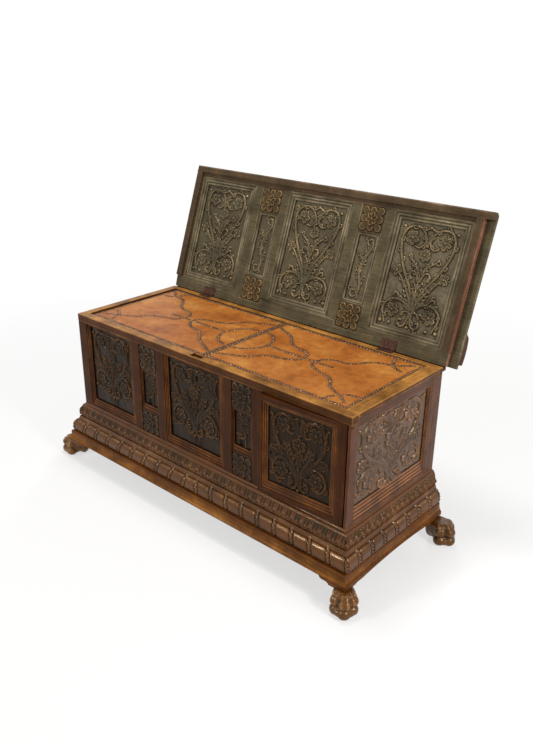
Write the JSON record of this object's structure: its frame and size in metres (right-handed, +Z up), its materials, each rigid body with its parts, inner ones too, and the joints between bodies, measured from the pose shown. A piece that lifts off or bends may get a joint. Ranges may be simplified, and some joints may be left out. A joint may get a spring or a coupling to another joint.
{
  "type": "cassone",
  "caption": "Carved walnut chest on paw feet, with a leather-topped lid in two flaps, a raised outer lid and a front door",
  "frame": {"origin": "middle of the chest's footprint with its lid open, on the floor", "axes": "+X to the viewer's right along the front, +Y from the front to the back, +Z up"},
  "size_m": [1.5026, 0.7684, 1.0668],
  "materials": {
    "leather": "worn tan hide, waxed",
    "iron": "rusted wrought iron",
    "walnut_worn": "walnut worn to a lighter brown, waxed",
    "walnut_dark": "dark walnut, old glossy polish",
    "walnut_carved": "carved walnut, dark in the recesses, polished high spots",
    "walnut_base": "carved walnut, worn and waxed",
    "lid_wood": "dry greenish-grey walnut, matt",
    "rim_wood": "unpolished reddish softwood",
    "inner_wood": "plain unfinished walnut"
  },
  "bodies": {
    "chest": {"front_top_rail": "walnut_worn", "back_top_rail": "walnut_worn", "left_top_rail": "walnut_worn", "right_top_rail": "walnut_worn", "front_corner_stile": "walnut_dark", "front_muntins": "walnut_dark", "door_strike_stile": "walnut_dark", "front_bottom_rail": "walnut_dark", "front_panel_left": "walnut_carved", "front_panel_centre": "walnut_carved", "front_panel_mouldings": "walnut_dark", "front_bay_boards": "walnut_carved", "front_bay_mouldings": "walnut_dark", "front_rosette_blocks": "walnut_carved", "right_end_frame": "walnut_dark", "right_end_panel": "walnut_carved", "right_end_moulding": "walnut_dark", "left_end_frame": "walnut_dark", "left_end_panel": "walnut_carved", "left_end_moulding": "walnut_dark", "back_board": "inner_wood", "bottom_board": "inner_wood", "leaf_ledges": "inner_wood", "seam_bearer": "inner_wood", "base_thumb_moulding": "walnut_base", "base_torus_moulding": "walnut_base", "base_plinth": "walnut_base", "base_back_board": "inner_wood", "foot_front_left": "walnut_base", "foot_front_right": "walnut_base", "foot_back_left": "walnut_base", "foot_back_right": "walnut_base", "lid_hinge_lower_halves": "iron", "lid_hinge_pins": "iron"},
    "leaf_left": {"leaf_left_board": "inner_wood", "leaf_left_leather": "leather", "leaf_left_pins": "iron"},
    "leaf_right": {"leaf_right_board": "inner_wood", "leaf_right_leather": "leather", "leaf_right_pins": "iron"},
    "door": {"door_frame": "walnut_dark", "door_panel": "walnut_carved", "door_moulding": "walnut_dark", "door_pivots": "iron", "door_lock_case": "iron"},
    "bolt": {"lock_bolt": "iron"},
    "lid": {"lid_board": "lid_wood", "lid_frame": "lid_wood", "lid_panels": "lid_wood", "lid_panel_mouldings": "lid_wood", "lid_bay_boards": "lid_wood", "lid_bay_mouldings": "lid_wood", "lid_rosette_blocks": "lid_wood", "lid_rim_strips": "rim_wood", "lid_batten": "walnut_dark", "lid_hinge_upper_halves": "iron"}
  },
  "joints": [
    {"name": "lid_hinge", "type": "hinge", "parent": "chest", "child": "lid", "pos_m": [0, 0.19981, 0.607], "axis": [-1, 0, 0], "range_deg": [-108.9, 0]},
    {"name": "leaf_left_hinge", "type": "hinge", "parent": "chest", "child": "leaf_left", "pos_m": [-0.589, -0.04369, 0.591], "axis": [0, -1, 0], "range_deg": [0, 94]},
    {"name": "leaf_right_hinge", "type": "hinge", "parent": "chest", "child": "leaf_right", "pos_m": [0.573, -0.04369, 0.5925], "axis": [0, 1, 0], "range_deg": [0, 94]},
    {"name": "door_hinge", "type": "hinge", "parent": "chest", "child": "door", "pos_m": [0.597, -0.27119, 0.405], "axis": [0, 0, 1], "range_deg": [-3.6, 96.4]},
    {"name": "bolt_slide", "type": "slide", "parent": "door", "child": "bolt", "axis": [-0.998, -0.0628, 0], "range_m": [0, 0.009]}
  ]
}
